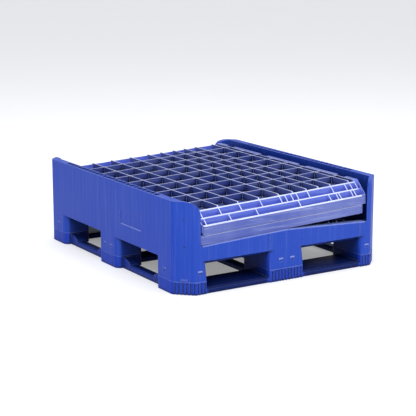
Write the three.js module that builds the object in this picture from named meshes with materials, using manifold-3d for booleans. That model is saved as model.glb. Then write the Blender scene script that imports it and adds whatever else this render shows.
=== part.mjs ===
// Bulk pallet box with four folding walls, shown folded flat.
// Millimetres, +Z up. The origin is on the floor under the middle of the box.
// X runs across the short side, Y along the long side, and the front faces -Y.

import * as THREE from 'three';
import { mergeVertices } from 'three/addons/utils/BufferGeometryUtils.js';
import Module from 'manifold-3d';

const wasm = await Module();
wasm.setup();

// Overall
const widthX = 1000;
const lengthY = 1200;
const rimZ = 372;
const contactGap = 0.3;

// Plan of the body
const cornerChamfer = 68;
const cornerRound = 22;
const sideWallThickness = 36;
const postThickness = 19;
const beamThickness = 34;

// Front and back openings
const postReach = 90;
const postLip = 5;
const shoulderRadius = 58;
const sillEndZ = 194;
const foldTilt = 2.5;

// Deck and fork entries
const forkTopZ = 134;
const deckUndersideZ = 112;
const deckTopZ = 150;
const deckPlate = 6;
const leadInDepth = 42;
const deckRib = 6;
const deckCellsX = 8;
const deckCellsY = 10;

// Long faces: pockets between the ribs of the double rim, and a label panel
const rimSkin = 6;
const rimPocketDepth = 40;
const rimPockets = 24;
const rimPocketZone = 400;
const labelPanel = { from: -290, to: -112, low: 204, high: 262 };
const recessDepth = 1.5;

// End beams: panels set back on both sides of the middle block, and marks on the chamfers
const beamPanelMargin = 38;
const beamPanelDepth = 1.5;
const chamferTab = { width: 26, height: 9, proud: 2, z: 56 };
const chamferHoleZ = [191, 300];
const chamferHoleRadius = 3.5;
const chamferHoleDepth = 3;

// Feet
const cornerFootX = 120;
const cornerFootY = 197;
const middleFootX = 168;
const middleFootY = 168;
const footWall = 6;
const sideFootRound = 26;
const innerFootRound = 14;
const leadRoundLow = 8;
const leadRoundHigh = 28;

// Bottom frame
const sleeveZ = 52;
const sleeveWall = 6;
const sleeveFloor = 8;
const ledgeHeight = 4;
const flutePitch = 15.5;
const fluteWidth = 7;
const fluteDepth = 3.5;
const runnerZ = 24;
const runnerBevel = 7;
const sideRunnerWidth = 44;
const sideRunnerSetBack = 26;
const endRunnerWidth = 150;
const endRunnerSetBack = 5;
const crossRunnerWidth = 90;
const centreRailWidth = 38;
const humpLength = 62;
const humpHeight = 22;

// Snap hooks and their windows
const hookWidth = 22;
const hookArm = 4;
const hookRecess = 1;
const windowZ = 90;
const windowHeight = 7;
const dimpleRadius = 9;
const dimpleDepth = 2;
const cornerHookX = 32;
const cornerHookY = 71;
const middleHookSpread = 28;

// Folding side walls
const wallEndGap = 9;
const freeEndGap = 26.6;
const erectGap = 2.7;
const bandHeight = 34;
const bevelSize = 60;
const wallDepth = 36;
const skin = 6;
const rib = 4;
const flange = 5;
const wallCorner = 14;
const nestPitch = 39;
const bevelRows = [27, 52];
const lipRibs = [48, 64, 126, 140, 178, 332, 541, 670, 786];
const bevelRibs = [22, 49, 76, 146, 269, 325, 352, 381, 408, 504, 604, 700, 788];
const faceRibs = [50, 146, 208, 269, 338, 408, 504, 604, 700];
const faceCells = 9;

// Side wall hinges
const pinRadius = 6;
const hingeBeyondEdge = 8;
const hingeHeight = 50;
const sideHingeY = [-430, -150, 150, 430];
const cheekThickness = 7;
const cheekGap = 34;
const cheekMargin = 6;
const slotClearance = 0.6;
const lugClearance = 1;
const lugRadius = 10;
const hingeNotch = 18;
const hingeNotchWidth = 62;
const pinOverhang = 1;

// Folding end walls
const endWallSideGap = 132;
const endWallHeight = 986;
const endWallDepth = 34;
const endWallGap = 2;
const endWallSkin = 5;
const endWallFrame = 8;
const endWallCellsX = 6;
const endWallCellsY = 7;
const endHingeX = [-260, 0, 260];

// Latches near the free edge of the end walls
const latchFromTop = 90;
const latchLength = 92;
const latchWidth = 40;
const latchDepth = 16;
const boltLength = 20;
const boltWidth = 16;
const boltReach = 12;
const latchTravel = 14;
const latchClearance = 0.5;

// Finishes
const bodyBlue = { color: 0x3550c8, roughness: 0.42, metalness: 0 };
const frameBlue = { color: 0x2c46b8, roughness: 0.45, metalness: 0 };
const wallBlue = { color: 0x5f70cf, roughness: 0.45, metalness: 0 };
const latchBlue = { color: 0x22389c, roughness: 0.4, metalness: 0 };
const zincSteel = { color: 0xb4b8bd, roughness: 0.35, metalness: 1 };

const halfX = widthX / 2;
const halfY = lengthY / 2;
const pinX = halfX - sideWallThickness - erectGap - (bandHeight + bevelSize - hingeHeight);
const wallHeight = 2 * pinX - freeEndGap;
const wallHalfLength = halfY - wallEndGap;
const endWallWidth = widthX - 2 * endWallSideGap;
const tilt = THREE.MathUtils.degToRad(foldTilt);

// Solids

function toSolid(geometry) {
  geometry.deleteAttribute('normal');
  geometry.deleteAttribute('uv');
  const merged = mergeVertices(geometry, 1e-3);
  return new wasm.Manifold(new wasm.Mesh({
    numProp: 3,
    vertProperties: merged.attributes.position.array,
    triVerts: Uint32Array.from(merged.index.array),
  }));
}

function joinAll(solids) {
  return wasm.Manifold.union(solids);
}

function sorted(a, b) {
  return [Math.min(a, b), Math.max(a, b)];
}

function box([x0, x1], [y0, y1], [z0, z1]) {
  const geometry = new THREE.BoxGeometry(x1 - x0, y1 - y0, z1 - z0);
  geometry.translate((x0 + x1) / 2, (y0 + y1) / 2, (z0 + z1) / 2);
  return toSolid(geometry);
}

function vectors(points) {
  const list = points.map(([a, b]) => new THREE.Vector2(a, b));
  return THREE.ShapeUtils.isClockWise(list) ? list.reverse() : list;
}

function extrude(points, holes, depth, axes, offset) {
  const shape = new THREE.Shape(vectors(points));
  shape.holes.push(...holes.map((hole) => new THREE.Path(vectors(hole))));
  const geometry = new THREE.ExtrudeGeometry(shape, { depth, bevelEnabled: false });
  geometry.applyMatrix4(new THREE.Matrix4().makeBasis(...axes));
  geometry.translate(...offset);
  return toSolid(geometry);
}

const unitX = new THREE.Vector3(1, 0, 0);
const unitY = new THREE.Vector3(0, 1, 0);
const unitZ = new THREE.Vector3(0, 0, 1);

// Outline in X and Y, raised from z0 to z1
function prismZ(points, [z0, z1]) {
  return extrude(points, [], z1 - z0, [unitX, unitY, unitZ], [0, 0, z0]);
}

// Outline in Y and Z, run from x0 to x1
function prismX(points, [x0, x1], holes = []) {
  return extrude(points, holes, x1 - x0, [unitY, unitZ, unitX], [x0, 0, 0]);
}

// Outline in X and Z, run from y0 to y1
function prismY(points, [y0, y1], holes = []) {
  return extrude(points, holes, y1 - y0, [unitX, unitZ, unitY.clone().negate()], [0, y1, 0]);
}

// Straight loft between two rounded convex outlines with the same number of points
function loft(lower, z0, upper, z1) {
  const count = lower.length;
  const position = [...lower.map(([x, y]) => [x, y, z0]), ...upper.map(([x, y]) => [x, y, z1])].flat();
  const index = [];
  for (let i = 1; i < count - 1; i += 1) {
    index.push(0, i + 1, i, count, count + i, count + i + 1);
  }
  for (let i = 0; i < count; i += 1) {
    const next = (i + 1) % count;
    index.push(i, next, next + count, i, next + count, i + count);
  }
  const geometry = new THREE.BufferGeometry();
  geometry.setAttribute('position', new THREE.Float32BufferAttribute(position, 3));
  geometry.setIndex(index);
  return toSolid(geometry);
}

// Round bar between two ends along X or Y
function roundBar(alongX, [x, y, z], length, radius, sides = 12) {
  const geometry = new THREE.CylinderGeometry(radius, radius, length, sides);
  if (alongX) geometry.rotateZ(Math.PI / 2);
  geometry.translate(x, y, z);
  return toSolid(geometry);
}

function meshOf(name, solid, finish) {
  const { vertProperties, triVerts } = solid.getMesh();
  const geometry = new THREE.BufferGeometry();
  geometry.setAttribute('position', new THREE.BufferAttribute(Float32Array.from(vertProperties), 3));
  geometry.setIndex(Array.from(triVerts));
  geometry.computeVertexNormals();
  const mesh = new THREE.Mesh(geometry, new THREE.MeshStandardMaterial(finish));
  mesh.name = name;
  return mesh;
}

// Outlines

// Polygon with rounded corners. Each corner is [x, y, radius, steps], listed anticlockwise.
function roundedPolygon(corners) {
  return corners.flatMap(([x, y, radius, steps], i) => {
    const here = new THREE.Vector2(x, y);
    const before = new THREE.Vector2(...corners.at(i - 1)).sub(here).normalize();
    const after = new THREE.Vector2(...corners[(i + 1) % corners.length]).sub(here).normalize();
    const half = Math.acos(THREE.MathUtils.clamp(before.dot(after), -1, 1)) / 2;
    const centre = before.clone().add(after).setLength(radius / Math.sin(half)).add(here);
    const spoke = before.clone().multiplyScalar(radius / Math.tan(half)).add(here);
    const sweep = Math.PI - 2 * half;
    return Array.from({ length: steps + 1 }, (_, k) => {
      const point = spoke.clone().rotateAround(centre, (sweep * k) / steps);
      return [point.x, point.y];
    });
  });
}

// Points of an arc about a middle, from one angle to another
function arc([a, b], radius, from, to, steps) {
  return Array.from({ length: steps + 1 }, (_, k) => {
    const angle = from + ((to - from) * k) / steps;
    return [a + radius * Math.cos(angle), b + radius * Math.sin(angle)];
  });
}

// Upright slot for a pin that can rise from low to high
function uprightSlot(across, low, high) {
  const radius = pinRadius + slotClearance;
  return [
    ...arc([across, high], radius, 0, Math.PI, 5),
    ...arc([across, low], radius, Math.PI, 2 * Math.PI, 5),
  ];
}

// Plan of the body: a rectangle with chamfered corners, moved in by an inset
function bodyOutline(inset) {
  const x = halfX - inset;
  const y = halfY - inset;
  const cut = cornerChamfer - inset * (2 - Math.SQRT2);
  const corners = [
    [cut - x, -y], [x - cut, -y], [x, cut - y], [x, y - cut],
    [x - cut, y], [cut - x, y], [-x, y - cut], [-x, cut - y],
  ];
  return roundedPolygon(corners.map((corner) => [...corner, cornerRound, 2]));
}

// Nine feet in three columns and three rows
function footGrid() {
  const columns = [
    [-halfX, cornerFootX - halfX], [-middleFootX / 2, middleFootX / 2], [halfX - cornerFootX, halfX],
  ];
  const rows = [
    [-halfY, cornerFootY - halfY], [-middleFootY / 2, middleFootY / 2], [halfY - cornerFootY, halfY],
  ];
  return columns.flatMap(([x0, x1]) => rows.map(([y0, y1]) => ({ x0, x1, y0, y1 })));
}

// Plan of a foot. A corner on two faces of the body is chamfered, one on an end face has the radius of
// the fork entry, one on a long face has the side radius, and the rest have the inner radius.
function footOutline(foot, leadRound, inset = 0) {
  const spots = [
    [foot.x0, foot.y0, 1, 1], [foot.x1, foot.y0, -1, 1],
    [foot.x1, foot.y1, -1, -1], [foot.x0, foot.y1, 1, -1],
  ];
  return roundedPolygon(spots.flatMap(([x, y, inX, inY]) => {
    const onSide = Math.abs(x) === halfX;
    const onEnd = Math.abs(y) === halfY;
    const px = x + inX * inset;
    const py = y + inY * inset;
    if (onSide && onEnd) {
      const cut = cornerChamfer - inset * (2 - Math.SQRT2);
      const alongSide = [px, py + inY * cut, cornerRound - inset, 2];
      const alongEnd = [px + inX * cut, py, cornerRound - inset, 2];
      return inX === inY ? [alongSide, alongEnd] : [alongEnd, alongSide];
    }
    const plain = onSide ? sideFootRound : innerFootRound;
    return [[px, py, Math.max((onEnd ? leadRound : plain) - inset, 2), 4]];
  }));
}

// Even grooves along an open run of points
function flutedRun(run) {
  const marks = [];
  let total = 0;
  run.forEach((point, i) => {
    if (i > 0) total += Math.hypot(point[0] - run[i - 1][0], point[1] - run[i - 1][1]);
    marks.push({ along: total, depth: 0 });
  });
  const stops = marks.map(({ along }) => along);
  const count = Math.max(Math.floor((total - fluteWidth) / flutePitch), 1);
  const first = (total - (count - 1) * flutePitch) / 2;
  const grooves = Array.from({ length: count }, (_, k) => first + k * flutePitch);
  const clear = marks.filter(({ along }) => (
    grooves.every((groove) => Math.abs(along - groove) > fluteWidth / 2 + 0.2)
  ));
  const cuts = grooves.flatMap((g) => [[-0.5, 0], [-0.3, 1], [0.3, 1], [0.5, 0]].map(([side, depth]) => (
    { along: g + side * fluteWidth, depth: depth * fluteDepth }
  )));
  return [...clear, ...cuts].sort((a, b) => a.along - b.along).map(({ along, depth }) => {
    const i = Math.max(stops.findIndex((stop) => stop >= along - 1e-9), 1);
    const [a, b] = [run[i - 1], run[i]];
    const length = stops[i] - stops[i - 1];
    const [dx, dy] = [(b[0] - a[0]) / length, (b[1] - a[1]) / length];
    const part = along - stops[i - 1];
    return [a[0] + dx * part - dy * depth, a[1] + dy * part + dx * depth];
  });
}

// Outline with grooves on each stretch that faces an end of the box or a chamfered corner
function flutedOutline(outline) {
  const closed = [...outline, outline[0]];
  const faces = closed.slice(1).map(([x, y], i) => {
    const [px, py] = closed[i];
    const outward = -(x - px) / Math.hypot(x - px, y - py);
    const nearEnd = Math.abs(y + py) / 2 > halfY - cornerChamfer;
    return nearEnd && outward * Math.sign(y + py) > 0.45;
  });
  const result = [];
  for (let i = 0; i < outline.length;) {
    let stop = i;
    while (stop < outline.length && faces[stop]) stop += 1;
    if (stop > i) result.push(...flutedRun(closed.slice(i, stop + 1)).slice(0, -1));
    else result.push(outline[i]);
    i = Math.max(stop, i + 1);
  }
  return result;
}

function evenCells(low, high, count, ribWidth) {
  const pitch = (high - low + ribWidth) / count;
  return Array.from({ length: count }, (_, i) => [low + i * pitch, low + (i + 1) * pitch - ribWidth]);
}

// Gaps left between ribs that stand at the given middles
function cellsBetween(low, high, middles) {
  const edges = [low, ...middles.flatMap((middle) => [middle - rib / 2, middle + rib / 2]), high];
  return evenPairs(edges);
}

function evenPairs(values) {
  return Array.from({ length: values.length / 2 }, (_, i) => [values[2 * i], values[2 * i + 1]]);
}

// Places of the folded walls

// Sill: two slopes that meet in the middle and fall to both posts
function sillZ(x) {
  return sillEndZ + (halfX - postReach - Math.abs(x)) * Math.tan(tilt);
}

const lowerHingeX = -pinX + hingeBeyondEdge * Math.cos(tilt) + hingeHeight * Math.sin(tilt);
const upperHingeX = pinX - hingeBeyondEdge * Math.cos(tilt) + hingeHeight * Math.sin(tilt);
const lowerHingeZ = sillZ(lowerHingeX) + contactGap / Math.cos(tilt);
const upperHingeZ = lowerHingeZ + (upperHingeX - lowerHingeX) * Math.tan(tilt) + nestPitch / Math.cos(tilt);
const lowerPinZ = lowerHingeZ - hingeBeyondEdge * Math.sin(tilt) + hingeHeight * Math.cos(tilt);
const upperPinZ = upperHingeZ + hingeBeyondEdge * Math.sin(tilt) + hingeHeight * Math.cos(tilt);

const frontWallZ = deckTopZ + contactGap;
const backWallZ = frontWallZ + endWallDepth + contactGap;
const endHingeEdgeY = halfY - beamThickness - endWallGap;
const endPinY = endHingeEdgeY - endWallDepth / 2;
const frontPinZ = frontWallZ + endWallDepth / 2;
const backPinZ = backWallZ + endWallDepth / 2;

// Snap hooks: where the middle of each hook meets the outer face of a foot
function hookPlaces() {
  const endX = halfX - cornerFootX + cornerHookX;
  const sideY = halfY - cornerFootY + cornerHookY;
  return [-1, 1].flatMap((side) => [
    ...[-endX, -middleHookSpread, middleHookSpread, endX].map((x) => (
      { x, y: side * halfY, across: [1, 0], inward: [0, -side] }
    )),
    ...[-sideY, -middleHookSpread, middleHookSpread, sideY].map((y) => (
      { x: side * halfX, y, across: [0, 1], inward: [-side, 0] }
    )),
  ]);
}

// Box at a place on a face, between two depths inside that face
function boxAtFace(place, width, [d0, d1], spanZ) {
  const ends = [0, 1].map((axis) => {
    const middle = axis === 0 ? place.x : place.y;
    const half = (place.across[axis] * width) / 2;
    const [a, b] = [place.inward[axis] * d0, place.inward[axis] * d1];
    return [middle - half + Math.min(a, b), middle + half + Math.max(a, b)];
  });
  return box(...ends, spanZ);
}

// Base pallet

// Inside of the tray: side walls, slanted corner posts and ends of the given thickness
function trayOutline(endThickness) {
  const x = halfX - sideWallThickness;
  const y = halfY - endThickness;
  const slant = halfX + halfY - cornerChamfer - postThickness * Math.SQRT2;
  return [
    [-x, x - slant], [y - slant, -y], [slant - y, -y], [x, x - slant],
    [x, slant - x], [slant - y, y], [y - slant, y], [-x, slant - x],
  ];
}

// Front or back opening above the sill, where each post top falls away in a quarter round
function openingCut(side) {
  const open = halfX - postReach;
  const middle = [open + shoulderRadius, rimZ - shoulderRadius];
  const shoulder = arc(middle, shoulderRadius, Math.PI, Math.PI / 2, 7);
  const right = [[open, sillEndZ], ...shoulder, [open + shoulderRadius, rimZ + 1]];
  const outline = [[0, sillZ(0)], ...right, ...right.map(([x, z]) => [-x, z]).reverse()];
  const inner = halfY - (cornerChamfer + postThickness * Math.SQRT2 - sideWallThickness);
  return prismY(outline, sorted(side * inner, side * (halfY + 1)));
}

function rimPocketCuts() {
  const cells = evenCells(-rimPocketZone, rimPocketZone, rimPockets, rimSkin);
  const x0 = halfX - sideWallThickness + rimSkin;
  const x1 = halfX - rimSkin;
  return [-1, 1].flatMap((side) => cells.map((cell) => (
    box(sorted(side * x0, side * x1), cell, [rimZ - rimPocketDepth, rimZ + 1])
  )));
}

function deckCellCuts() {
  const x = halfX - leadInDepth - deckRib;
  const y = halfY - leadInDepth - deckRib;
  const rows = evenCells(-y, y, deckCellsY, deckRib);
  return evenCells(-x, x, deckCellsX, deckRib).flatMap((column) => rows.map((row) => (
    box(column, row, [deckUndersideZ - 1, deckTopZ - deckPlate])
  )));
}

// Foot, or with an inset the hollow inside it, which widens into the fork entry
function footColumn(foot, inset, [z0, z1]) {
  const low = footOutline(foot, leadRoundLow, inset);
  const high = footOutline(foot, leadRoundHigh, inset);
  return loft(low, z0, high, forkTopZ).add(prismZ(high, [forkTopZ, z1]));
}

// Pair of slotted cheeks on a side wall that carry one pin
function sideCheeks(side, y) {
  const around = pinRadius + slotClearance + cheekMargin;
  const edge = pinX - around;
  const wall = halfX - sideWallThickness + 1;
  const [bottom, top] = [lowerPinZ - around, upperPinZ + around];
  const outline = [[edge, bottom], [wall, bottom - (wall - edge) / 2], [wall, top], [edge, top]];
  const mirror = (points) => points.map(([x, z]) => [side * x, z]);
  return [-1, 1].map((hand) => {
    const near = y + (hand * cheekGap) / 2;
    const slot = uprightSlot(pinX, lowerPinZ, upperPinZ);
    return prismY(mirror(outline), sorted(near, near + hand * cheekThickness), [mirror(slot)]);
  });
}

// Pair of slotted cheeks behind an end beam that carry one end wall pin
function endCheeks(side, x) {
  const around = pinRadius + slotClearance + cheekMargin;
  const edge = endPinY - around;
  const beam = halfY - beamThickness + 1;
  const top = backPinZ + around;
  const outline = [
    [edge, deckTopZ - 1], [beam, deckTopZ - 1], [beam, sillEndZ - 2],
    [endPinY + pinRadius, top], [edge, top],
  ];
  const mirror = (points) => points.map(([y, z]) => [side * y, z]);
  return [-1, 1].map((hand) => {
    const near = x + (hand * cheekGap) / 2;
    const slot = uprightSlot(endPinY, frontPinZ, backPinZ);
    return prismX(mirror(outline), sorted(near, near + hand * cheekThickness), [mirror(slot)]);
  });
}

// Label panels, the right face being the left one turned around
function labelRecesses() {
  const { from, to, low, high } = labelPanel;
  return [-1, 1].map((side) => {
    const place = { x: side * halfX, y: (-side * (from + to)) / 2, across: [0, 1], inward: [-side, 0] };
    return boxAtFace(place, to - from, [-1, recessDepth], [low, high]);
  });
}

// Panels of the end beams beside the middle block, from the fork entry up to the sill
function beamPanelCuts() {
  const reach = halfX - postReach - beamPanelMargin;
  return [-1, 1].flatMap((side) => [-1, 1].map((hand) => box(
    sorted((hand * middleFootX) / 2, hand * reach),
    sorted(side * (halfY - beamPanelDepth), side * (halfY + 1)), [forkTopZ - 1, rimZ],
  )));
}

// Middle of each chamfer, with the turn that brings a solid made at +X to face outwards there
function atChamfers(solid) {
  const x = halfX - cornerChamfer / 2;
  const y = halfY - cornerChamfer / 2;
  const middles = [[x, y], [-x, y], [-x, -y], [x, -y]];
  return middles.map(([mx, my], quarter) => (
    solid.rotate([0, 0, 45 + 90 * quarter]).translate([mx, my, 0])
  ));
}

function chamferTabs() {
  const { width, height, proud, z } = chamferTab;
  const outline = [[-1, z - 1], [proud, z + 1], [proud, z + height - 3], [-1, z + height]];
  return atChamfers(prismY(outline, [-width / 2, width / 2]));
}

function chamferHoles() {
  return chamferHoleZ.flatMap((z) => (
    atChamfers(roundBar(true, [0, 0, z], 2 * chamferHoleDepth, chamferHoleRadius, 8))
  ));
}

function snapWindow(place) {
  const middle = [place.x, place.y, windowZ - dimpleRadius / 3];
  const alongX = place.inward[0] !== 0;
  return boxAtFace(place, hookWidth, [-1, footWall + 1], [windowZ, windowZ + windowHeight])
    .add(roundBar(alongX, middle, 2 * dimpleDepth, dimpleRadius));
}

function basePallet() {
  const feet = footGrid();
  const block = prismZ(bodyOutline(0), [forkTopZ, rimZ]);
  const underside = loft(bodyOutline(leadInDepth), deckUndersideZ, bodyOutline(0), forkTopZ);
  const tray = prismZ(trayOutline(beamThickness), [deckTopZ, rimZ + 1]);
  const open = halfX - postReach;
  const behindPosts = prismZ(trayOutline(postLip), [sillEndZ - 1, rimZ + 1])
    .subtract(box([-open, open], [-halfY, halfY], [sillEndZ - 2, rimZ + 2]));
  const shell = block.add(underside).subtract(joinAll([
    tray, behindPosts, openingCut(-1), openingCut(1), ...rimPocketCuts(), ...deckCellCuts(),
  ]));
  const cheeks = [-1, 1].flatMap((side) => [
    ...sideHingeY.flatMap((y) => sideCheeks(side, y)),
    ...endHingeX.flatMap((x) => endCheeks(side, x)),
  ]);
  const columns = feet.map((foot) => footColumn(foot, 0, [sleeveZ + contactGap, forkTopZ + 1]));
  const hollows = feet.map((foot) => footColumn(foot, footWall, [sleeveZ - 1, deckTopZ - deckPlate]));
  const cuts = [...hollows, ...hookPlaces().map(snapWindow), ...labelRecesses(), ...beamPanelCuts()];
  return joinAll([shell, ...cheeks, ...columns, ...chamferTabs()])
    .subtract(joinAll([...cuts, ...chamferHoles()]));
}

// Bottom frame

function sleeve(foot) {
  const outline = footOutline(foot, leadRoundLow);
  const inside = footOutline(foot, leadRoundLow, sleeveWall + fluteDepth);
  return prismZ(flutedOutline(outline), [0, sleeveZ - ledgeHeight])
    .add(prismZ(outline, [sleeveZ - ledgeHeight, sleeveZ]))
    .subtract(prismZ(inside, [sleeveFloor, sleeveZ + 1]));
}

// Section of a runner with its upper edges broken
function runnerSection([from, to]) {
  return [
    [from, 0], [to, 0], [to, runnerZ - runnerBevel], [to - runnerBevel, runnerZ],
    [from + runnerBevel, runnerZ], [from, runnerZ - runnerBevel],
  ];
}

// Raised end of a side runner against a foot, as a profile in Y and Z
function humpProfile(footY, away) {
  const steps = 6;
  const base = runnerZ - runnerBevel;
  const root = footY - away * sleeveWall;
  const curve = Array.from({ length: steps + 1 }, (_, k) => {
    const angle = (Math.PI / 2) * (k / steps);
    return [footY + away * humpLength * Math.sin(angle), runnerZ - 1 + humpHeight * Math.cos(angle)];
  });
  return [[root, base], [root, curve[0][1]], ...curve, [footY + away * humpLength, base]];
}

function runners() {
  const endFoot = { x: halfX - cornerFootX, y: halfY - cornerFootY };
  const midFoot = { x: middleFootX / 2, y: middleFootY / 2 };
  const solids = [];
  for (const side of [-1, 1]) {
    const across = (outer, width) => sorted(side * outer, side * (outer - width));
    const endRunner = across(halfY - endRunnerSetBack, endRunnerWidth);
    const sideRunner = across(halfX - sideRunnerSetBack, sideRunnerWidth);
    const rail = across(midFoot.x, centreRailWidth);
    for (const end of [-1, 1]) {
      const spanX = sorted(end * (midFoot.x - sleeveWall), end * (endFoot.x + sleeveWall));
      const spanY = sorted(end * (midFoot.y - sleeveWall), end * (endFoot.y + sleeveWall));
      solids.push(prismX(runnerSection(endRunner), spanX));
      solids.push(prismY(runnerSection(sideRunner), spanY));
      solids.push(prismY(runnerSection(rail), spanY));
      solids.push(prismX(humpProfile(end * midFoot.y, end), sideRunner));
      solids.push(prismX(humpProfile(end * endFoot.y, -end), sideRunner));
    }
    const crossSpan = sorted(side * (midFoot.x - sleeveWall), side * (endFoot.x + sleeveWall));
    solids.push(prismX(runnerSection([-crossRunnerWidth / 2, crossRunnerWidth / 2]), crossSpan));
  }
  return solids;
}

// Hook arm against the inside of a foot wall, with the nose that fills its window
function snapHook(place) {
  const arm = footWall + contactGap;
  const width = hookWidth - 2 * contactGap;
  const top = windowZ + windowHeight - contactGap;
  return boxAtFace(place, width, [arm, arm + hookArm], [sleeveFloor - 1, top])
    .add(boxAtFace(place, width, [hookRecess, arm + 1], [windowZ + contactGap, top]));
}

function bottomFrame() {
  return joinAll([...footGrid().map(sleeve), ...runners(), ...hookPlaces().map(snapHook)]);
}

// Folding side wall. Local X runs from the hinge edge to the free edge, and local Z from the inner
// side to the outer side. Its ends are bent in at 45 degrees to pass the corner posts.

const bevelTop = bandHeight + bevelSize;
const faceInnerZ = bevelTop - wallDepth;

// Height of the outer and of the inner side at a distance from the middle line
function outerSide(y) {
  return Math.min(bandHeight + wallHalfLength - Math.abs(y), bevelTop);
}

function innerSide(y) {
  return Math.max(outerSide(y) - wallDepth, 0);
}

function wallBlock() {
  const y = wallHalfLength;
  const bend = y - bevelSize;
  const foot = y - (wallDepth - bandHeight);
  const half = [[foot, 0], [y, 0], [y, bandHeight], [bend, bevelTop]];
  const otherHalf = half.map(([a, b]) => [-a, b]).reverse();
  const section = [[bend, faceInnerZ], ...half, ...otherHalf, [-bend, faceInnerZ]];
  const hingeCorner = rib;
  const plan = roundedPolygon([
    [0, -y, hingeCorner, 1], [wallHeight, -y, wallCorner, 3],
    [wallHeight, y, wallCorner, 3], [0, y, hingeCorner, 1],
  ]);
  return prismX(section, [0, wallHeight]).intersect(prismZ(plan, [-1, bevelTop + 1]));
}

// Cell of the ribbed outer side, cut down to the skin
function wallCell(spanX, [y0, y1]) {
  const bend = wallHalfLength - bevelSize;
  const stations = [y0, ...[-bend, bend].filter((y) => y > y0 && y < y1), y1];
  const floor = stations.map((y) => [y, innerSide(y) + skin]);
  return prismX([...floor, [y1, bevelTop + 1], [y0, bevelTop + 1]], spanX);
}

function wallCells() {
  const [rowOne, rowTwo] = bevelRows.map((depth) => wallHalfLength - depth);
  const bothEnds = ([from, to], ribs) => cellsBetween(rib, wallHeight - rib, ribs)
    .flatMap((span) => [wallCell(span, [from, to]), wallCell(span, [-to, -from])]);
  const faceEdge = rowTwo - rib / 2;
  const columns = evenCells(-faceEdge, faceEdge, faceCells, rib);
  return [
    ...bothEnds([rowOne + rib / 2, wallHalfLength - flange], lipRibs),
    ...bothEnds([rowTwo + rib / 2, rowOne - rib / 2], bevelRibs),
    ...cellsBetween(hingeNotch + rib, wallHeight - rib, faceRibs)
      .flatMap((span) => columns.map((column) => wallCell(span, column))),
  ];
}

// Lug that reaches past the hinge edge and holds a pin between two cheeks
function sideLug(y) {
  const half = cheekGap / 2 - lugClearance;
  const nose = arc([-hingeBeyondEdge, hingeHeight], lugRadius, Math.PI / 2, (3 * Math.PI) / 2, 6);
  const root = hingeNotch + rib;
  const outline = [...nose, [rib, faceInnerZ], [root, faceInnerZ], [root, bevelTop - rib]];
  return prismY(outline, [y - half, y + half]);
}

function sideWall() {
  const notch = (y) => box(
    [-1, hingeNotch], [y - hingeNotchWidth / 2, y + hingeNotchWidth / 2], [faceInnerZ - 1, bevelTop + 1],
  );
  const bore = (y) => roundBar(false, [-hingeBeyondEdge, y, hingeHeight], cheekGap, pinRadius + contactGap);
  return wallBlock()
    .subtract(joinAll([...wallCells(), ...sideHingeY.map(notch)]))
    .add(joinAll(sideHingeY.map(sideLug)))
    .subtract(joinAll(sideHingeY.map(bore)));
}

// Folding end wall, in its folded place: hinged behind an end beam, with its outer side up

function endLug(side, x, z) {
  const half = cheekGap / 2 - lugClearance;
  const root = endPinY - pinRadius - hingeNotch;
  const nose = arc([endPinY, z], lugRadius, Math.PI / 2, -Math.PI / 2, 6);
  const outline = [...nose, [root, z - lugRadius], [root, z + lugRadius]];
  return prismX(outline.map(([y, h]) => [side * y, h]), [x - half, x + half]);
}

// Grip plate and bolt of a latch, or with a clearance the space that they slide in
function latchSolid(side, hand, z0, clearance = 0) {
  const isSpace = clearance > 0;
  const y = side * (endHingeEdgeY - endWallHeight + latchFromTop);
  const edge = endWallWidth / 2;
  const shoulder = edge - boltLength;
  const top = z0 + endWallDepth;
  const low = top - latchDepth - clearance;
  const inner = shoulder - latchLength - clearance - (isSpace ? latchTravel : 0);
  const plate = box(
    sorted(hand * inner, hand * (shoulder + clearance)),
    [y - latchWidth / 2 - clearance, y + latchWidth / 2 + clearance], [low, isSpace ? top + 1 : top - 1],
  );
  const bolt = box(
    sorted(hand * (shoulder - 1), hand * (edge + boltReach)),
    [y - boltWidth / 2 - clearance, y + boltWidth / 2 + clearance], [low, top - latchDepth / 3 + clearance],
  );
  return plate.add(bolt);
}

function endWall(side, z0) {
  const x = endWallWidth / 2;
  const spanY = (from, to) => sorted(side * from, side * to);
  const pinZ = z0 + endWallDepth / 2;
  const top = z0 + endWallDepth;
  const block = box([-x, x], spanY(endHingeEdgeY, endHingeEdgeY - endWallHeight), [z0, top]);
  const latchStrip = latchFromTop + latchWidth / 2 + endWallFrame;
  const rows = evenCells(
    endHingeEdgeY - endWallHeight + latchStrip, endHingeEdgeY - endWallDepth - endWallFrame,
    endWallCellsY, rib,
  );
  const cells = evenCells(endWallFrame - x, x - endWallFrame, endWallCellsX, rib)
    .flatMap((column) => rows.map(([y0, y1]) => box(column, spanY(y0, y1), [z0 + endWallSkin, top + 1])));
  const notches = endHingeX.map((hx) => box(
    [hx - hingeNotchWidth / 2, hx + hingeNotchWidth / 2],
    spanY(endPinY - pinRadius - hingeNotch / 2, endHingeEdgeY + 1), [z0 - 1, top + 1],
  ));
  const guides = [-1, 1].map((hand) => latchSolid(side, hand, z0, latchClearance));
  const boreRadius = pinRadius + contactGap;
  const bores = endHingeX.map((hx) => roundBar(true, [hx, side * endPinY, pinZ], cheekGap, boreRadius));
  return block
    .subtract(joinAll([...cells, ...notches, ...guides]))
    .add(joinAll(endHingeX.map((hx) => endLug(side, hx, pinZ))))
    .subtract(joinAll(bores));
}

// Assembly

const palletBox = new THREE.Group();
const pinLength = cheekGap + 2 * (cheekThickness + pinOverhang);

palletBox.add(meshOf('base_pallet', basePallet(), bodyBlue));
palletBox.add(meshOf('bottom_frame', bottomFrame(), frameBlue));

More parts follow.
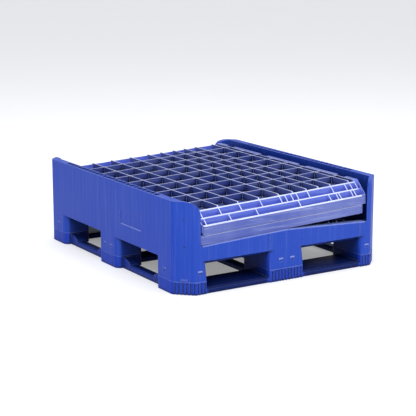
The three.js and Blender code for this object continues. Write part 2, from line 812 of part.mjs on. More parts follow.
// The left wall lies on the left slope of the sill, and the right wall nests on top of it
const wallSolid = sideWall();
const sideWalls = [
  { name: 'left', hinge: [lowerHingeX, 0, lowerHingeZ], turn: 0, x: -pinX, z: lowerPinZ },
  { name: 'right', hinge: [upperHingeX, 0, upperHingeZ], turn: Math.PI, x: pinX, z: upperPinZ },
];
for (const { name, hinge, turn, x, z } of sideWalls) {
  const wall = meshOf(`${name}_side_wall`, wallSolid, wallBlue);
  wall.rotation.z = turn;
  const slope = new THREE.Group();
  slope.position.set(...hinge);
  slope.rotation.y = -tilt;
  slope.add(wall);
  palletBox.add(slope);
  sideHingeY.forEach((y, i) => {
    const bar = roundBar(false, [0, 0, 0], pinLength, pinRadius);
    const pin = meshOf(`${name}_wall_pin_${i + 1}`, bar, zincSteel);
    pin.position.set(x, y, z);
    palletBox.add(pin);
  });
}

const endWalls = [
  { name: 'front', side: -1, z0: frontWallZ, pinZ: frontPinZ },
  { name: 'back', side: 1, z0: backWallZ, pinZ: backPinZ },
];
for (const { name, side, z0, pinZ } of endWalls) {
  palletBox.add(meshOf(`${name}_wall`, endWall(side, z0), wallBlue));
  endHingeX.forEach((x, i) => {
    const bar = roundBar(true, [0, 0, 0], pinLength, pinRadius);
    const pin = meshOf(`${name}_wall_pin_${i + 1}`, bar, zincSteel);
    pin.position.set(x, side * endPinY, pinZ);
    palletBox.add(pin);
  });
  for (const [hand, word] of [[-1, 'left'], [1, 'right']]) {
    palletBox.add(meshOf(`${name}_wall_latch_${word}`, latchSolid(side, hand, z0), latchBlue));
  }
}

export default palletBox;
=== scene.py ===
"""Looks of the bulk pallet box: finishes, floor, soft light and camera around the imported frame."""

from __future__ import annotations

import logging
import math
from dataclasses import dataclass, field, replace
from enum import Enum
from typing import Union

import bpy
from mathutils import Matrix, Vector


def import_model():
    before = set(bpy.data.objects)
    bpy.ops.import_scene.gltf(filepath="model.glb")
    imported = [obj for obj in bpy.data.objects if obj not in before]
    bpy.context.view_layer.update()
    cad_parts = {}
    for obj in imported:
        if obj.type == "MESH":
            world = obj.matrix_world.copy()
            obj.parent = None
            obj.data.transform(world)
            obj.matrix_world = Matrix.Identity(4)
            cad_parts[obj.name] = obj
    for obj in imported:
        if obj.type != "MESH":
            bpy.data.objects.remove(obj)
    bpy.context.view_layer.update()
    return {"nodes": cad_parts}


LOG = logging.getLogger("pallet_box")

Colour = tuple[float, float, float]
Point = tuple[float, float, float]
IMAGE_SIDE = 416


def clear_selection() -> None:
    """Deselects every object, so that an operator touches only what is chosen after it."""
    bpy.ops.object.select_all(action="DESELECT")


# Noise


@dataclass(frozen=True)
class Pattern:
    """A noise and the part of its range that counts.

    Attributes:
        scale: features per metre.
        detail: octaves.
        roughness: weight of the finer octaves.
        low: the noise that gives zero.
        high: the noise that gives one.
        stretch: factor on each axis. A small one draws the pattern out along that axis.
    """

    scale: float
    detail: float
    roughness: float
    low: float
    high: float
    stretch: Point = (1.0, 1.0, 1.0)


@dataclass(frozen=True)
class Grain:
    """A fine relief.

    Attributes:
        scale: features per metre.
        height: height in metres.
        detail: octaves.
        roughness: weight of the finer octaves.
    """

    scale: float
    height: float
    detail: float = 2.0
    roughness: float = 0.5


FADED_CLOUDS = Pattern(2.2, 3.0, 0.55, 0.35, 0.70)
FADED_STREAKS = Pattern(9.0, 4.0, 0.6, 0.42, 0.72, stretch=(1.0, 1.0, 0.22))
SETTLED_DUST = Pattern(14.0, 5.0, 0.62, 0.25, 0.75)
EDGE_SCUFF_AND_HIGHLIGHT_PATCHES = Pattern(38.0, 3.0, 0.65, 0.18, 0.52)
UPRIGHT_STREAKS = Pattern(85.0, 3.0, 0.7, 0.46, 0.80, stretch=(1.0, 1.0, 0.03))
RUBS_ALONG_Y = Pattern(60.0, 3.0, 0.7, 0.64, 0.76, stretch=(1.0, 0.06, 2.4))
RUBS_ALONG_X = Pattern(60.0, 3.0, 0.7, 0.50, 0.78, stretch=(0.08, 1.0, 2.4))
READ_THROUGH = Pattern(5.0, 2.0, 0.5, 0.2, 0.6)
SILL_PATCHES = Pattern(30.0, 3.0, 0.6, 0.15, 0.60)
RIB_PATCHES = Pattern(16.0, 3.0, 0.6, 0.15, 0.60)
LEDGE_PATCHES = Pattern(22.0, 3.0, 0.6, 0.20, 0.60)
STEEL_MOTTLE = Pattern(140.0, 4.0, 0.6, 0.3, 0.7)
FLOOR_TONE = Pattern(1.3, 3.0, 0.5, 0.3, 0.7)

SKIN_GRAIN = Grain(900.0, 0.000035, roughness=0.6)
SKIN_SWELL = Grain(7.0, 0.0007, detail=1.0, roughness=0.4)
STEEL_GRAIN = Grain(600.0, 0.00003)
FLOOR_GRAIN = Grain(300.0, 0.00005)


# Shader maths


class Channel:
    """A float socket that takes Python's arithmetic operators and adds the Math nodes they need."""

    def __init__(self, graph: "ShaderGraph", source: Union[bpy.types.NodeSocket, float]) -> None:
        """Wraps a socket.

        Args:
            graph: the graph that the new Math nodes go into.
            source: an output socket, or a plain number.
        """
        self.graph = graph
        self.source = source

    def _math(self, operation: str, *others: "Operand", swap: bool = False) -> "Channel":
        """Adds one Math node.

        Args:
            operation: the node's operation.
            others: the operands that come after this one.
            swap: puts this value last, for the reflected forms.

        Returns:
            The node's result.
        """
        values = [self.source, *(other.source if isinstance(other, Channel) else other for other in others)]
        if swap:
            values.reverse()
        node = self.graph.node("ShaderNodeMath", {"operation": operation}, dict(enumerate(values)))
        return Channel(self.graph, node.outputs[0])

    def __add__(self, other: "Operand") -> "Channel":
        """This value plus another."""
        return self._math("ADD", other)

    __radd__ = __add__

    def __sub__(self, other: "Operand") -> "Channel":
        """This value less another."""
        return self._math("SUBTRACT", other)

    def __rsub__(self, other: "Operand") -> "Channel":
        """Another value less this one."""
        return self._math("SUBTRACT", other, swap=True)

    def __mul__(self, other: "Operand") -> "Channel":
        """This value times another."""
        return self._math("MULTIPLY", other)

    __rmul__ = __mul__

    def __truediv__(self, other: "Operand") -> "Channel":
        """This value over another."""
        return self._math("DIVIDE", other)

    def size(self) -> "Channel":
        """This value without its sign."""
        return self._math("ABSOLUTE")

    def least(self, other: "Operand") -> "Channel":
        """The smaller of this value and another."""
        return self._math("MINIMUM", other)

    def fraction(self) -> "Channel":
        """What is left of this value above the whole number below it."""
        return self._math("FRACT")

    def above(self, limit: "Operand") -> "Channel":
        """One where this value is greater than the limit, and zero elsewhere."""
        return self._math("GREATER_THAN", limit)

    def ramp(self, low: float, high: float) -> "Channel":
        """Runs smoothly from zero at low to one at high.

        Args:
            low: the value that gives zero.
            high: the value that gives one.

        Returns:
            The eased value, held between zero and one.
        """
        node = self.graph.node(
            "ShaderNodeMapRange",
            {"interpolation_type": "SMOOTHSTEP"},
            {"Value": self.source, "From Min": low, "From Max": high, "To Min": 0.0, "To Max": 1.0},
        )
        return Channel(self.graph, node.outputs[0])


Operand = Union[Channel, float]


class ShaderGraph:
    """The node tree of one material, with the few helpers that every finish uses."""

    def __init__(self, name: str) -> None:
        """Starts an empty material.

        Args:
            name: the material's name.
        """
        self.material = bpy.data.materials.new(name)
        self.material.use_nodes = True
        self.tree = self.material.node_tree
        self.tree.nodes.clear()
        own = self.node("ShaderNodeTexCoord")
        self.place = own.outputs["Object"]
        axes = self.node("ShaderNodeSeparateXYZ", inputs={"Vector": self.place})
        self.x, self.y, self.z = (Channel(self, socket) for socket in axes.outputs)
        self.facing = self.node("ShaderNodeNewGeometry").outputs["Normal"]
        up = self.node("ShaderNodeSeparateXYZ", inputs={"Vector": own.outputs["Normal"]})
        self.normal_x, self.normal_y, self.normal_z = (Channel(self, socket) for socket in up.outputs)

    def node(
        self, kind: str, settings: dict[str, object] | None = None, inputs: dict | None = None
    ) -> bpy.types.Node:
        """Adds one node.

        Args:
            kind: the node's type.
            settings: attributes that are set before the sockets.
            inputs: values or links by socket name or number.

        Returns:
            The new node.
        """
        made = self.tree.nodes.new(kind)
        for key, value in (settings or {}).items():
            setattr(made, key, value)
        for key, value in (inputs or {}).items():
            source = value.source if isinstance(value, Channel) else value
            if isinstance(source, bpy.types.NodeSocket):
                self.tree.links.new(source, made.inputs[key])
            else:
                made.inputs[key].default_value = source
        return made

    def _noise(self, look: Union[Pattern, Grain], stretch: Point = (1.0, 1.0, 1.0)) -> Channel:
        """Noise over the object's own coordinates.

        Args:
            look: the scale, detail and roughness.
            stretch: factor on each axis.

        Returns:
            The noise, from about zero to one.
        """
        moved = self.node("ShaderNodeVectorMath", {"operation": "MULTIPLY"}, {0: self.place, 1: stretch})
        values = {"Scale": look.scale, "Detail": look.detail, "Roughness": look.roughness}
        made = self.node("ShaderNodeTexNoise", inputs={"Vector": moved.outputs[0], **values})
        return Channel(self, made.outputs[0])

    def pattern(self, look: Pattern) -> Channel:
        """Patches of a noise, from zero to one."""
        return self._noise(look, look.stretch).ramp(look.low, look.high)

    def grain(self, look: Grain) -> Channel:
        """The height of a fine relief in metres."""
        return self._noise(look) * look.height

    def blend(self, factor: Operand, first: object, second: object) -> bpy.types.NodeSocket:
        """Mixes two colours.

        Args:
            factor: zero for the first, one for the second.
            first: a colour or a socket.
            second: a colour or a socket.

        Returns:
            The mixed colour's socket.
        """
        mixer = self.node("ShaderNodeMix", {"data_type": "RGBA", "clamp_factor": True})
        for index, value in ((0, factor), (6, first), (7, second)):
            source = value.source if isinstance(value, Channel) else value
            if isinstance(source, bpy.types.NodeSocket):
                self.tree.links.new(source, mixer.inputs[index])
            elif index:
                mixer.inputs[index].default_value = (*source, 1.0)
            else:
                mixer.inputs[index].default_value = source
        return mixer.outputs[2]

    def soft_edge(self, radius: float) -> tuple[bpy.types.NodeSocket, Channel]:
        """Rounds sharp edges in the shading.

        Args:
            radius: the round's radius in metres.

        Returns:
            The rounded normal, and a mask that is one on the edges.
        """
        bevel = self.node("ShaderNodeBevel", {"samples": 6}, {"Radius": radius})
        normal = bevel.outputs[0]
        dot = self.node("ShaderNodeVectorMath", {"operation": "DOT_PRODUCT"}, {0: normal, 1: self.facing})
        return normal, (1.0 - Channel(self, dot.outputs["Value"])).ramp(0.01, 0.28)

    def openness(self, reach: float) -> Channel:
        """How open a point is: one on an outer face, towards zero deep in a cavity.

        Args:
            reach: how far other surfaces count, in metres.

        Returns:
            The openness.
        """
        made = self.node("ShaderNodeAmbientOcclusion", {"samples": 6}, {"Distance": reach})
        return Channel(self, made.outputs["AO"])

    def finish(
        self,
        colour: bpy.types.NodeSocket,
        roughness: Operand,
        height: Operand,
        normal: bpy.types.NodeSocket,
        metallic: float = 0.0,
        specular: float = 0.32,
    ) -> bpy.types.Material:
        """Closes the graph with a bump and one surface shader.

        Args:
            colour: the base colour's socket.
            roughness: the roughness.
            height: relief in metres.
            normal: the normal under the relief.
            metallic: zero for plastic, one for metal.
            specular: the specular level.

        Returns:
            The material.
        """
        bump = self.node(
            "ShaderNodeBump", inputs={"Strength": 1.0, "Distance": 1.0, "Height": height, "Normal": normal}
        )
        shader = self.node(
            "ShaderNodeBsdfPrincipled",
            inputs={
                "Base Color": colour,
                "Roughness": roughness,
                "Metallic": metallic,
                "Specular IOR Level": specular,
                "Normal": bump.outputs[0],
            },
        )
        self.node("ShaderNodeOutputMaterial", inputs={"Surface": shader.outputs[0]})
        return self.material


# Finishes

# Where the box's outer faces begin: X, Y, and X plus Y at the chamfers, in metres
OUTER_X = (0.470, 0.490)
OUTER_Y = (0.568, 0.588)
OUTER_CHAMFER = (0.995, 1.020)
LONG_FACE_X = 0.49

# Ribs behind the long faces: the length they take in metres, and how many there are
RIB_ZONE = 0.806
RIB_COUNT = 24

# How far other surfaces shade a hollow and a groove, in metres, and the openness that is full and none
HOLLOW_REACH = 0.22
HOLLOW_SHADE = (0.85, 0.20)
CREASE_REACH = 0.014
CREASE_SHADE = (0.94, 0.50)

# Sizes of a normal's part along an axis at which a face starts to count, and counts in full
SIDE_FACING = (0.55, 0.95)
DUST_FACING = (0.55, 0.95)
TOP_SHADE_FACING = (0.50, 0.90)
UPRIGHT_FACING = (0.60, 0.30)

# Distances in metres at which a painted highlight line starts and is full, across it and at its ends
SILL_LINE = (0.0052, 0.0030)
LEDGE_LINE = (0.0032, 0.0016)
SOFT_END = (0.001, 0.009)

EDGE_ROUND = 0.0022
BAR_EDGE_ROUND = 0.0008
CLOUD_SHARE = 0.65
RIB_TONE = 0.3
RIB_HEIGHT = 0.0003


class Relief(Enum):
    """What shows through the skin of a moulding."""

    NONE = "none"
    RIM_RIBS = "rim_ribs"


class RubMarks(Enum):
    """Which way fine marks run over upright faces."""

    LEVEL = "level"
    UPRIGHT = "upright"


@dataclass(frozen=True)
class PlasticFinish:
    """Moulded polyethylene with a fine skin, faded faces, scuffed edges with painted highlights, painted
    shade in its hollows and dust on what faces up.

    Attributes:
        name: the material's name.
        base: the colour of a clean, fresh surface.
        faded: the colour that sun and wearing turn it to.
        side_painted_light: painted light and shade: the colour of the faces that look to the long sides,
            which take the light differently.
        edge: the colour of scuffed edges and rub marks, and of the painted highlights on edges and on what
            stands proud.
        deep: the colour of the painted shade in cavities, in grooves and on what faces up.
        dust: the colour of dust.
        fade_amount: how much of the surface is faded.
        edge_amount: how strong the edge scuffing and the painted highlights are.
        dust_amount: how strong the dust is.
        shade_amount: how strongly painted shade darkens cavities.
        crease_amount: how strongly painted shade darkens fine grooves.
        top_shade: how strongly painted shade darkens what faces up.
        rub_amount: how strongly rub marks show.
        rub_marks: which way the rub marks run.
        roughness: the roughness of a clean surface.
        specular: the specular level.
        relief: what shows through the skin.
    """

    name: str
    base: Colour
    faded: Colour
    side_painted_light: Colour
    edge: Colour
    deep: Colour = (0.003, 0.010, 0.075)
    dust: Colour = (0.30, 0.31, 0.38)
    fade_amount: float = 0.35
    edge_amount: float = 0.5
    dust_amount: float = 0.2
    shade_amount: float = 0.85
    crease_amount: float = 0.6
    top_shade: float = 0.0
    rub_amount: float = 0.14
    rub_marks: RubMarks = RubMarks.LEVEL
    roughness: float = 0.42
    specular: float = 0.32
    relief: Relief = Relief.NONE

    def material(self) -> bpy.types.Material:
        """Builds the node graph and returns the material."""
        graph = ShaderGraph(self.name)
        normal, edges = graph.soft_edge(EDGE_ROUND)
        cloud = graph.pattern(FADED_CLOUDS)
        streak = graph.pattern(FADED_STREAKS)
        # Painted light and shade: faces that look to the long sides take their own colour for the light
        # they get
        side = graph.normal_x.size().ramp(*SIDE_FACING)
        base = graph.blend(side, self.base, self.side_painted_light)
        fade = (cloud * CLOUD_SHARE + streak * (1.0 - CLOUD_SHARE)) * self.fade_amount
        faded = graph.blend(fade, base, self.faded)
        ribs = self._ribs(graph)
        toned = graph.blend(ribs * RIB_TONE, faded, self.faded)
        rubbed = graph.blend(self._rub_marks(graph), self._painted_light(graph, toned), self.edge)
        settled = graph.normal_z.ramp(*DUST_FACING) * graph.pattern(SETTLED_DUST)
        dusty = graph.blend(settled * self.dust_amount, rubbed, self.dust)
        # Painted shade: cavities, grooves and what faces up darken towards the deep colour
        shaded = graph.blend(self._painted_shade(graph), dusty, self.deep)
        # Real scuffing and painted highlights on the edges, and painted highlights on what stands proud,
        # all in the edge colour
        scuffs_and_highlights = edges * graph.pattern(EDGE_SCUFF_AND_HIGHLIGHT_PATCHES)
        wear_and_highlights = (scuffs_and_highlights + self._painted_highlights(graph)) * self.edge_amount
        worn_and_highlit = graph.blend(wear_and_highlights, shaded, self.edge)
        roughness = self.roughness + cloud * 0.08 + settled * 0.12 - edges * 0.05
        height = graph.grain(SKIN_GRAIN) + graph.grain(SKIN_SWELL) + ribs * RIB_HEIGHT
        return graph.finish(worn_and_highlit, roughness, height, normal, specular=self.specular)

    def _painted_light(self, graph: ShaderGraph, colour: bpy.types.NodeSocket) -> bpy.types.NodeSocket:
        """Paints light onto parts of a moulding. A plain moulding has none, and its colour stays as it is.

        Args:
            graph: the graph to add to.
            colour: the colour so far.

        Returns:
            The colour with the painted light.
        """
        return colour

    def _painted_highlights(self, graph: ShaderGraph) -> Channel:
        """Painted highlights on what stands proud, besides the edges. A plain moulding has none.

        Args:
            graph: the graph to add to.

        Returns:
            How strong the painted highlights are.
        """
        return Channel(graph, 0.0)

    def _rub_marks(self, graph: ShaderGraph) -> Channel:
        """Fine marks on upright faces: level where stacked pieces rub, or streaks from top to bottom.

        Args:
            graph: the graph to add to.

        Returns:
            How strongly the marks show.
        """
        upright = graph.normal_z.size().ramp(*UPRIGHT_FACING)
        if self.rub_marks is RubMarks.UPRIGHT:
            return graph.pattern(UPRIGHT_STREAKS) * upright * self.rub_amount
        side = graph.normal_x.size().above(0.6)
        marks = graph.pattern(RUBS_ALONG_Y) * side + graph.pattern(RUBS_ALONG_X) * (1.0 - side)
        return marks * upright * self.rub_amount

    def _painted_shade(self, graph: ShaderGraph) -> Channel:
        """Painted shade in cavities and grooves and on what faces up, with no cavity shade on the outer
        upright faces.

        Args:
            graph: the graph to add to.

        Returns:
            How strong the painted shade is.
        """
        across, along = graph.x.size(), graph.y.size()
        rim = across.ramp(*OUTER_X) + along.ramp(*OUTER_Y) + (across + along).ramp(*OUTER_CHAMFER)
        outer = rim.ramp(0.0, 1.0) * (1.0 - graph.normal_z.size().ramp(0.3, 0.7))
        hollow = graph.openness(HOLLOW_REACH).ramp(*HOLLOW_SHADE) * (1.0 - outer) * self.shade_amount
        crease = graph.openness(CREASE_REACH).ramp(*CREASE_SHADE) * self.crease_amount
        # Painted shade on what faces up
        top_painted_shade = graph.normal_z.ramp(*TOP_SHADE_FACING) * self.top_shade
        return hollow + crease + top_painted_shade

    def _ribs(self, graph: ShaderGraph) -> Channel:
        """Upright bands where ribs behind a long face show through its skin.

        Args:
            graph: the graph to add to.

        Returns:
            One on the bands, or zero everywhere if nothing shows through.
        """
        if self.relief is Relief.NONE:
            return Channel(graph, 0.0)
        wave = ((graph.y + RIB_ZONE / 2) / (RIB_ZONE / RIB_COUNT)).fraction()
        band = (wave - 0.5).size().ramp(0.14, 0.02)
        flat = graph.normal_x.size().ramp(0.90, 0.97) * graph.x.size().above(LONG_FACE_X)
        return band * flat * graph.z.ramp(0.15, 0.30) * graph.pattern(READ_THROUGH)


@dataclass(frozen=True)
class BodyFinish(PlasticFinish):
    """The finish of the base, with painted highlights along its sills, label ledges and chamfer tabs.

    Attributes:
        sill_end: half width in metres of the front opening.
        sill_z: height in metres of the sill at the posts.
        sill_slope: rise of the sill towards the middle, as a share of the way.
        sill_highlight: how strong the painted highlight on the sills' outer edges is.
        end_face_y: the Y in metres beyond which only the end beams' outer faces lie.
        ledge: where the label ledge starts and ends along a long face, in metres.
        ledge_z: height in metres of the label ledge.
        ledge_highlight: how strong the painted highlight on the label ledges is.
        tab_reach: sum of X and Y in metres that only the chamfer tabs pass.
        tab_highlight: how strong the painted highlight on the chamfer tabs is.
    """

    sill_end: float = 0.405
    sill_z: float = 0.194
    sill_slope: float = 0.0437
    sill_highlight: float = 0.75
    end_face_y: float = 0.560
    ledge: tuple[float, float] = (0.116, 0.286)
    ledge_z: float = 0.2035
    ledge_highlight: float = 0.6
    tab_reach: float = 1.0335
    tab_highlight: float = 0.22

    def _painted_highlights(self, graph: ShaderGraph) -> Channel:
        """Painted highlights along the sills, the label ledges and the chamfer tabs.

        Args:
            graph: the graph to add to.

        Returns:
            How strong the painted highlights are.
        """
        across, along = graph.x.size(), graph.y.size()
        top = self.sill_z + (self.sill_end - across) * self.sill_slope
        between_posts = across.ramp(self.sill_end - SOFT_END[0], self.sill_end - SOFT_END[1])
        in_opening = along.above(self.end_face_y) * between_posts
        sill = (graph.z - top).size().ramp(*SILL_LINE) * in_opening
        level = (graph.z - self.ledge_z).size().ramp(*LEDGE_LINE) * across.above(LONG_FACE_X)
        # The two long faces are the same when turned around, so X times Y gives the place along both
        span = graph.x * graph.y * 2.0
        start, end = self.ledge
        ledge = level * span.ramp(start - 0.004, start + 0.01) * span.ramp(end + 0.004, end - 0.01)
        tabs = (across + along).above(self.tab_reach)
        lines = sill * self.sill_highlight + ledge * self.ledge_highlight
        return lines * (graph.pattern(SILL_PATCHES) * 0.6 + 0.4) + tabs * self.tab_highlight


@dataclass(frozen=True)
class FoldedWallFinish(PlasticFinish):
    """The finish of a folded side wall, with painted highlights on its rib tops and painted light in the
    pockets of its end slopes.

    Attributes:
        hinge_edge: X and Z of the wall's lower edge at its hinges, in metres.
        tilt: how far the wall leans, in degrees.
        half_length: half of the wall's length in metres.
        slope_y: where the slopes at the ends begin, in metres from the middle.
        band: height of the upright band at the wall's ends in metres.
        depth: height of the broad face above the wall's underside in metres.
        hinge_strip: width of the plain strip along the hinges in metres.
        pocket_light: how much of the painted shade the pockets of the end slopes lack.
        pocket_painted_light: the paler colour painted into those pockets as painted light on their floors.
        pocket_tint: how much of that colour shows.
        band_skin: thickness of the upright band's skin in metres.
    """

    hinge_edge: tuple[float, float] = (0.0, 0.0)
    tilt: float = 2.5
    half_length: float = 0.591
    slope_y: tuple[float, float] = (0.515, 0.535)
    band: float = 0.034
    depth: float = 0.094
    hinge_strip: float = 0.024
    pocket_light: float = 1.0
    pocket_painted_light: Colour = (0.105, 0.165, 0.72)
    pocket_tint: float = 0.8
    band_skin: float = 0.0065

    def _ends(self, graph: ShaderGraph) -> Channel:
        """The ribbed slopes at both ends of the wall.

        Args:
            graph: the graph to add to.

        Returns:
            One on the slopes and zero over the broad face.
        """
        return graph.y.size().ramp(*self.slope_y)

    def _painted_light(self, graph: ShaderGraph, colour: bpy.types.NodeSocket) -> bpy.types.NodeSocket:
        """Paints light into the pockets of the end slopes, as a paler colour on their floors.

        Args:
            graph: the graph to add to.
            colour: the colour so far.

        Returns:
            The colour with the painted light.
        """
        not_under = graph.normal_z.above(-0.3)
        inside = (self.half_length - graph.y.size()).above(self.band_skin) * not_under
        return graph.blend(self._ends(graph) * inside * self.pocket_tint, colour, self.pocket_painted_light)

    def _painted_shade(self, graph: ShaderGraph) -> Channel:
        """Painted shade in cavities, less so in the shallow pockets of the end slopes.

        Args:
            graph: the graph to add to.

        Returns:
            How strong the painted shade is.
        """
        return super()._painted_shade(graph) * (1.0 - self._ends(graph) * self.pocket_light)

    def _painted_highlights(self, graph: ShaderGraph) -> Channel:
        """Painted highlights on everything that lies in the wall's outermost surface.

        Args:
            graph: the graph to add to.

        Returns:
            How strong the painted highlights on the rib tops are.
        """
        lean = math.radians(self.tilt)
        edge_x, edge_z = self.hinge_edge
        height = (graph.z - edge_z) * math.cos(lean) - (graph.x - edge_x) * math.sin(lean)
        slope = (self.band + self.half_length) - graph.y.size()
        outer = slope.least(self.depth)
        on_top = (height - outer).size().ramp(0.0016, 0.0006) * graph.normal_z.ramp(0.35, 0.6)
        patches = graph.pattern(RIB_PATCHES)
        past_hinges = (graph.x - edge_x).size().above(self.hinge_strip)
        return on_top * past_hinges * (patches * 0.45 + self._ends(graph) * 0.35 + 0.2)


@dataclass(frozen=True)
class FrameFinish(PlasticFinish):
    """The finish of the bottom frame: painted highlights on the ledge and hook noses, and painted shade on
    the runners under the openings.

    Attributes:
        ledge_z: height in metres of the ledge on top of each foot sleeve.
        hooks_z: height in metres above which only hook noses reach.
        runner_top: height in metres of the runners.
        end_runner_y: the Y in metres beyond which the end runners lie.
        middle_sleeve_x: where the middle sleeve ends, in metres from the middle.
        corner_sleeve_x: where the corner sleeve begins, in metres from the middle.
        runner_shade: how strongly painted shade darkens the upright faces of the end runners.
        hook_highlight: how strong the painted highlight on the hook noses is.
        side_hook_fade: how much of that painted highlight the hooks on the long sides lack.
        ledge_highlight: how strong the painted highlight on the ledge is.
        side_ledge_fade: how much of that painted highlight the ledge on the long sides lacks.
        open_reach: how far other surfaces keep the painted highlight off the ledge, in metres.
    """

    ledge_z: float = 0.0485
    hooks_z: float = 0.088
    runner_top: float = 0.0245
    end_runner_y: float = 0.44
    middle_sleeve_x: tuple[float, float] = (0.085, 0.100)
    corner_sleeve_x: tuple[float, float] = (0.378, 0.370)
    runner_shade: float = 0.85
    hook_highlight: float = 1.1
    side_hook_fade: float = 0.55
    ledge_highlight: float = 0.45
    side_ledge_fade: float = 0.75
    open_reach: float = 0.3

    def _painted_highlights(self, graph: ShaderGraph) -> Channel:
        """Painted highlights on the hook noses and along the ledge of each sleeve.

        Args:
            graph: the graph to add to.

        Returns:
            How strong the painted highlights are.
        """
        side = graph.normal_x.size().ramp(0.6, 0.9)
        at_hooks = graph.z.above(self.hooks_z)
        hooks = at_hooks * self.hook_highlight * (1.0 - side * self.side_hook_fade)
        ledge = graph.z.above(self.ledge_z) * (1.0 - at_hooks)
        in_the_open = graph.openness(self.open_reach).ramp(0.35, 0.75)
        ledge = ledge * in_the_open * (1.0 - side * self.side_ledge_fade)
        return hooks + ledge * graph.pattern(LEDGE_PATCHES) * self.ledge_highlight

    def _painted_shade(self, graph: ShaderGraph) -> Channel:
        """Painted shade in cavities, and on the end runners between the foot sleeves.

        Args:
            graph: the graph to add to.

        Returns:
            How strong the painted shade is.
        """
        low = 1.0 - graph.z.above(self.runner_top)
        across = graph.x.size()
        between = across.ramp(*self.middle_sleeve_x) * across.ramp(*self.corner_sleeve_x)
        on_end = graph.y.size().above(self.end_runner_y) * graph.normal_y.size().ramp(0.3, 0.6)
        runner = low * between * on_end
        return super()._painted_shade(graph) + runner * self.runner_shade


@dataclass(frozen=True)
class SteelFinish:
    """Zinc-plated steel bar with mottled plating.

    Attributes:
        name: the material's name.
        base: the colour of clean plating.
        dull: the colour of handled plating.
    """

    name: str
    base: Colour = (0.62, 0.63, 0.64)
    dull: Colour = (0.36, 0.37, 0.39)

    def material(self) -> bpy.types.Material:
        """Builds the node graph and returns the material."""
        graph = ShaderGraph(self.name)
        normal, edges = graph.soft_edge(BAR_EDGE_ROUND)
        mottle = graph.pattern(STEEL_MOTTLE)
        colour = graph.blend(mottle * 0.6 - edges * 0.3, self.base, self.dull)
        return graph.finish(colour, mottle * 0.15 + 0.3, graph.grain(STEEL_GRAIN), normal, metallic=1.0)


BODY = BodyFinish(
    name="body_plastic",
    base=(0.015, 0.060, 0.43),
    faded=(0.036, 0.090, 0.47),
    side_painted_light=(0.005, 0.044, 0.41),
    edge=(0.34, 0.42, 0.86),
    edge_amount=0.6,
    rub_amount=0.085,
    rub_marks=RubMarks.UPRIGHT,
    specular=0.17,
    relief=Relief.RIM_RIBS,
)
FRAME = FrameFinish(
    name="frame_plastic",
    base=(0.010, 0.046, 0.42),
    faded=(0.028, 0.072, 0.45),
    side_painted_light=(0.004, 0.034, 0.38),
    edge=(0.30, 0.38, 0.82),
    edge_amount=0.7,
    dust_amount=0.05,
    shade_amount=0.95,
    crease_amount=1.0,
    top_shade=0.65,
    rub_amount=0.08,
    rub_marks=RubMarks.UPRIGHT,
    specular=0.12,
)
WALL_LOOK: dict[str, object] = {
    "base": (0.064, 0.096, 0.39),
    "faded": (0.170, 0.212, 0.51),
    "side_painted_light": (0.07, 0.11, 0.42),
    "edge": (0.64, 0.69, 0.95),
    "fade_amount": 0.8,
    "edge_amount": 1.0,
    "dust_amount": 0.12,
    "shade_amount": 0.72,
    "rub_amount": 0.3,
    "roughness": 0.36,
}
END_WALL = PlasticFinish(name="wall_plastic", **WALL_LOOK)
UPPER_WALL = FoldedWallFinish(name="upper_wall_plastic", hinge_edge=(0.4115, 0.2692), **WALL_LOOK)
LOWER_WALL = replace(
    UPPER_WALL, name="lower_wall_plastic", hinge_edge=(-0.4071, 0.1944), edge_amount=0.35
)
LATCH = PlasticFinish(
    name="latch_plastic",
    base=(0.02, 0.045, 0.32),
    faded=(0.04, 0.07, 0.38),
    side_painted_light=(0.02, 0.045, 0.32),
    edge=(0.16, 0.20, 0.55),
)
STEEL = SteelFinish(name="zinc_plating")


# Sub-assemblies


@dataclass
class DressedNodes:
    """CAD nodes that share one finish.

    Attributes:
        finish: the finish they take.
        names: the nodes' names.
    """

    finish: Union[PlasticFinish, SteelFinish]
    names: list[str] = field(default_factory=list)

    def dress(self, nodes: dict[str, bpy.types.Object]) -> None:
        """Gives the nodes their material.

        Args:
            nodes: every CAD node by name.
        """
        material = self.finish.material()
        for name in self.names:
            slots = nodes[name].data.materials
            slots.clear()
            slots.append(material)
            LOG.info("%s takes %s", name, material.name)


def finish_groups(nodes: dict[str, bpy.types.Object]) -> list[DressedNodes]:
    """Groups the CAD nodes by finish.

    Args:
        nodes: every CAD node by name.

    Returns:
        The groups, in the order that they are dressed.
    """
    groups = {
        "pin": DressedNodes(STEEL),
        "latch": DressedNodes(LATCH),
        "frame": DressedNodes(FRAME),
        "pallet": DressedNodes(BODY),
        "left_side": DressedNodes(LOWER_WALL),
        "right_side": DressedNodes(UPPER_WALL),
        "wall": DressedNodes(END_WALL),
    }
    for name in nodes:
        word = next(word for word in groups if word in name)
        groups[word].names.append(name)
    return list(groups.values())


# Studio


@dataclass(frozen=True)
class Lamp:
    """A square soft lamp that faces the box.

    Attributes:
        name: the lamp's name.
        place: where it hangs.
        side: its side in metres.
        power: its power in watts.
    """

    name: str
    place: Point
    side: float
    power: float


LAMPS = (
    Lamp("key", (-3.2, -3.6, 4.6), side=2.6, power=190.0),
    Lamp("fill", (3.4, -4.2, 3.0), side=3.0, power=80.0),
    Lamp("top", (0.4, 0.6, 5.0), side=4.0, power=95.0),
)


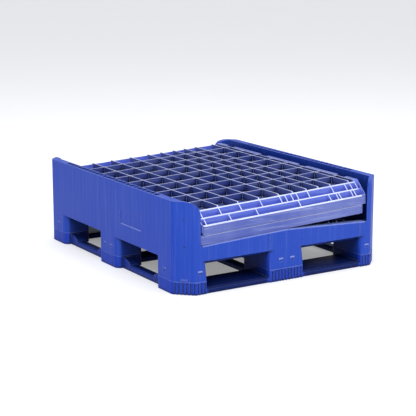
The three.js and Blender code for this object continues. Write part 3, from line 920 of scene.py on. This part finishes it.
@dataclass
class Studio:
    """Pale floor, soft light and the camera.

    Attributes:
        floor_side: the floor's side in metres.
        floor_colour: the floor's colour.
        floor_lift: the light that the floor adds to the picture only.
        sky_colour: the colour of the light from all around.
        sky_strength: the strength of that light.
        camera_at: the camera's place.
        aim_at: the point in the middle of the picture.
        focal_px: the focal length in pixels of the picture.
        sensor: the camera sensor's width in millimetres.
    """

    floor_side: float = 60.0
    floor_colour: Colour = (0.80, 0.80, 0.80)
    floor_lift: Colour = (0.28, 0.28, 0.28)
    sky_colour: Colour = (0.93, 0.95, 1.0)
    sky_strength: float = 0.66
    camera_at: Point = (-2.999, -4.767, 1.441)
    aim_at: Point = (0.0, 0.0, 0.186)
    focal_px: float = 1308.0
    sensor: float = 36.0

    def build(self) -> None:
        """Adds the floor, the lights and the camera."""
        self._floor()
        self._world()
        for lamp in LAMPS:
            self._lamp(lamp)
        self._camera()

    def _floor(self) -> None:
        """Adds the plain pale floor."""
        clear_selection()
        bpy.ops.mesh.primitive_plane_add(size=self.floor_side, location=(0, 0, -0.0005))
        floor = bpy.context.active_object
        floor.name = "studio_floor"
        graph = ShaderGraph("studio_floor")
        tone = graph.pattern(FLOOR_TONE) * 0.4
        colour = graph.blend(tone, self.floor_colour, tuple(0.96 * part for part in self.floor_colour))
        grain = graph.grain(FLOOR_GRAIN)
        material = graph.finish(colour, tone * 0.1 + 0.7, grain, graph.facing, specular=0.2)
        self._lift_to_camera(graph)
        floor.data.materials.append(material)

    def _lift_to_camera(self, graph: ShaderGraph) -> None:
        """Makes the floor paler in the picture without lighting the box.

        Args:
            graph: the floor's graph.
        """
        rays = graph.node("ShaderNodeLightPath").outputs
        seen = Channel(graph, rays["Is Camera Ray"]) + Channel(graph, rays["Is Glossy Ray"])
        seen = seen + Channel(graph, rays["Is Transmission Ray"])
        shader = next(node for node in graph.tree.nodes if node.type == "BSDF_PRINCIPLED")
        glow = graph.blend(seen, (0.0, 0.0, 0.0), self.floor_lift)
        graph.tree.links.new(glow, shader.inputs["Emission Color"])
        shader.inputs["Emission Strength"].default_value = 1.0

    def _world(self) -> None:
        """Lights everything evenly from all around."""
        world = bpy.data.worlds.new("studio_world")
        bpy.context.scene.world = world
        world.use_nodes = True
        background = world.node_tree.nodes["Background"]
        background.inputs["Color"].default_value = (*self.sky_colour, 1.0)
        background.inputs["Strength"].default_value = self.sky_strength

    def _lamp(self, lamp: Lamp) -> None:
        """Adds one lamp.

        Args:
            lamp: its place, size and power.
        """
        clear_selection()
        bpy.ops.object.light_add(type="AREA", location=lamp.place)
        made = bpy.context.active_object
        made.name = f"studio_{lamp.name}"
        made.data.size = lamp.side
        made.data.energy = lamp.power
        aim = Vector(self.aim_at) - Vector(lamp.place)
        made.rotation_euler = aim.to_track_quat("-Z", "Y").to_euler()

    def _camera(self) -> None:
        """Adds the camera and makes it the scene's own."""
        clear_selection()
        bpy.ops.object.camera_add(location=self.camera_at)
        camera = bpy.context.active_object
        camera.name = "studio_camera"
        camera.data.sensor_width = self.sensor
        camera.data.lens = self.focal_px / IMAGE_SIDE * self.sensor
        camera.data.clip_end = 200.0
        aim = Vector(self.aim_at) - Vector(self.camera_at)
        camera.rotation_euler = aim.to_track_quat("-Z", "Y").to_euler()
        bpy.context.scene.camera = camera


def main() -> None:
    """Builds everything in order."""
    logging.basicConfig(level=logging.INFO, format="%(message)s")
    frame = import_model()
    bpy.context.scene.view_settings.view_transform = "Standard"
    Studio().build()
    for group in finish_groups(frame["nodes"]):
        group.dress(frame["nodes"])


if __name__ == "__main__":
    main()
